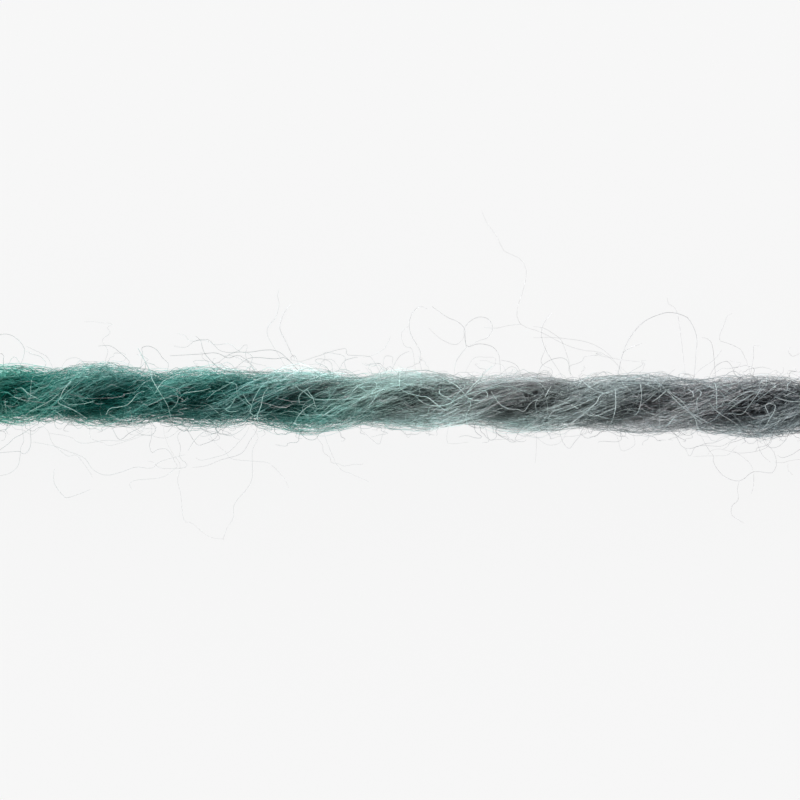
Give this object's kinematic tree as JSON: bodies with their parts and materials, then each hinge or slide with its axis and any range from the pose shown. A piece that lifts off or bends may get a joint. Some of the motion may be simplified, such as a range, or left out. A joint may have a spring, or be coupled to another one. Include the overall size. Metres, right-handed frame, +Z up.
{
  "type": "strand of plied wool yarn",
  "caption": "Short straight cut length of soft, fuzzy plied wool yarn, changing from teal green to grey along its length, lying flat.",
  "frame": {"origin": "on the surface the strand lies on, under the middle of its length", "axes": "+X along the strand from the teal end to the grey end, +Y across it, +Z up off the surface"},
  "size_m": [0.04, 0.0026, 0.0023],
  "materials": {
    "wool": "matt, hairy wool"
  },
  "bodies": {
    "root": {"yarn_strand": "wool"}
  },
  "joints": []
}
